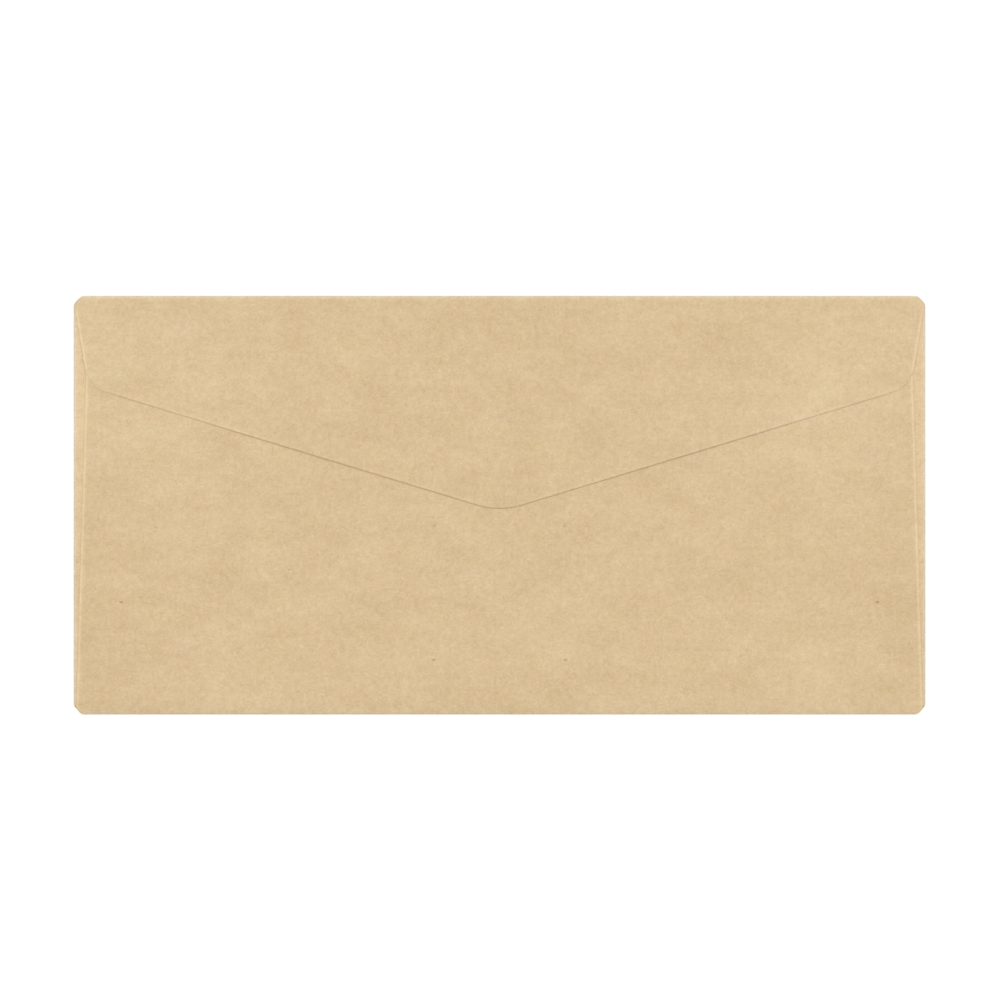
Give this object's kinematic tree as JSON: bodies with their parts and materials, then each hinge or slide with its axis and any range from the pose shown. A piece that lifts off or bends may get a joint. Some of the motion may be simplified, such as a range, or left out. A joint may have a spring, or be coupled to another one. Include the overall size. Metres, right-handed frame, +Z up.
{
  "type": "kraft envelope",
  "caption": "Flat landscape kraft paper envelope with a pointed seal flap, cut corners and side seams; the flap opens on the top fold.",
  "frame": {"origin": "centre of the outline in plan, on the outer face of the front panel", "axes": "+X along the long side, to the right when the flap side is read with the top fold up; +Y towards the top fold; +Z up through the layers, out of the flap side"},
  "size_m": [0.2212, 0.1086, 0.0011],
  "materials": {
    "kraft_paper": "matt uncoated kraft paper with fine fibres and soft mottling",
    "kraft_paper_inside": "matt uncoated kraft paper, inner side of the sheet",
    "seam_glue": "dry starch glue film",
    "seal_gum": "thin semi-gloss film of dry remoistenable gum"
  },
  "bodies": {
    "pocket": {"front_panel": "kraft_paper", "back_panel": "kraft_paper", "left_side_flap": "kraft_paper_inside", "right_side_flap": "kraft_paper_inside", "left_side_crease": "kraft_paper", "right_side_crease": "kraft_paper", "bottom_crease": "kraft_paper", "top_crease_front": "kraft_paper", "left_seam_glue": "seam_glue", "right_seam_glue": "seam_glue"},
    "seal_flap": {"seal_flap": "kraft_paper", "top_crease_flap": "kraft_paper", "seal_gum": "seal_gum"}
  },
  "joints": [
    {"name": "seal_flap_hinge", "type": "hinge", "parent": "pocket", "child": "seal_flap", "pos_m": [0, 0.05435, 0.00055], "axis": [-1, 0, 0], "range_deg": [0, 180]}
  ]
}
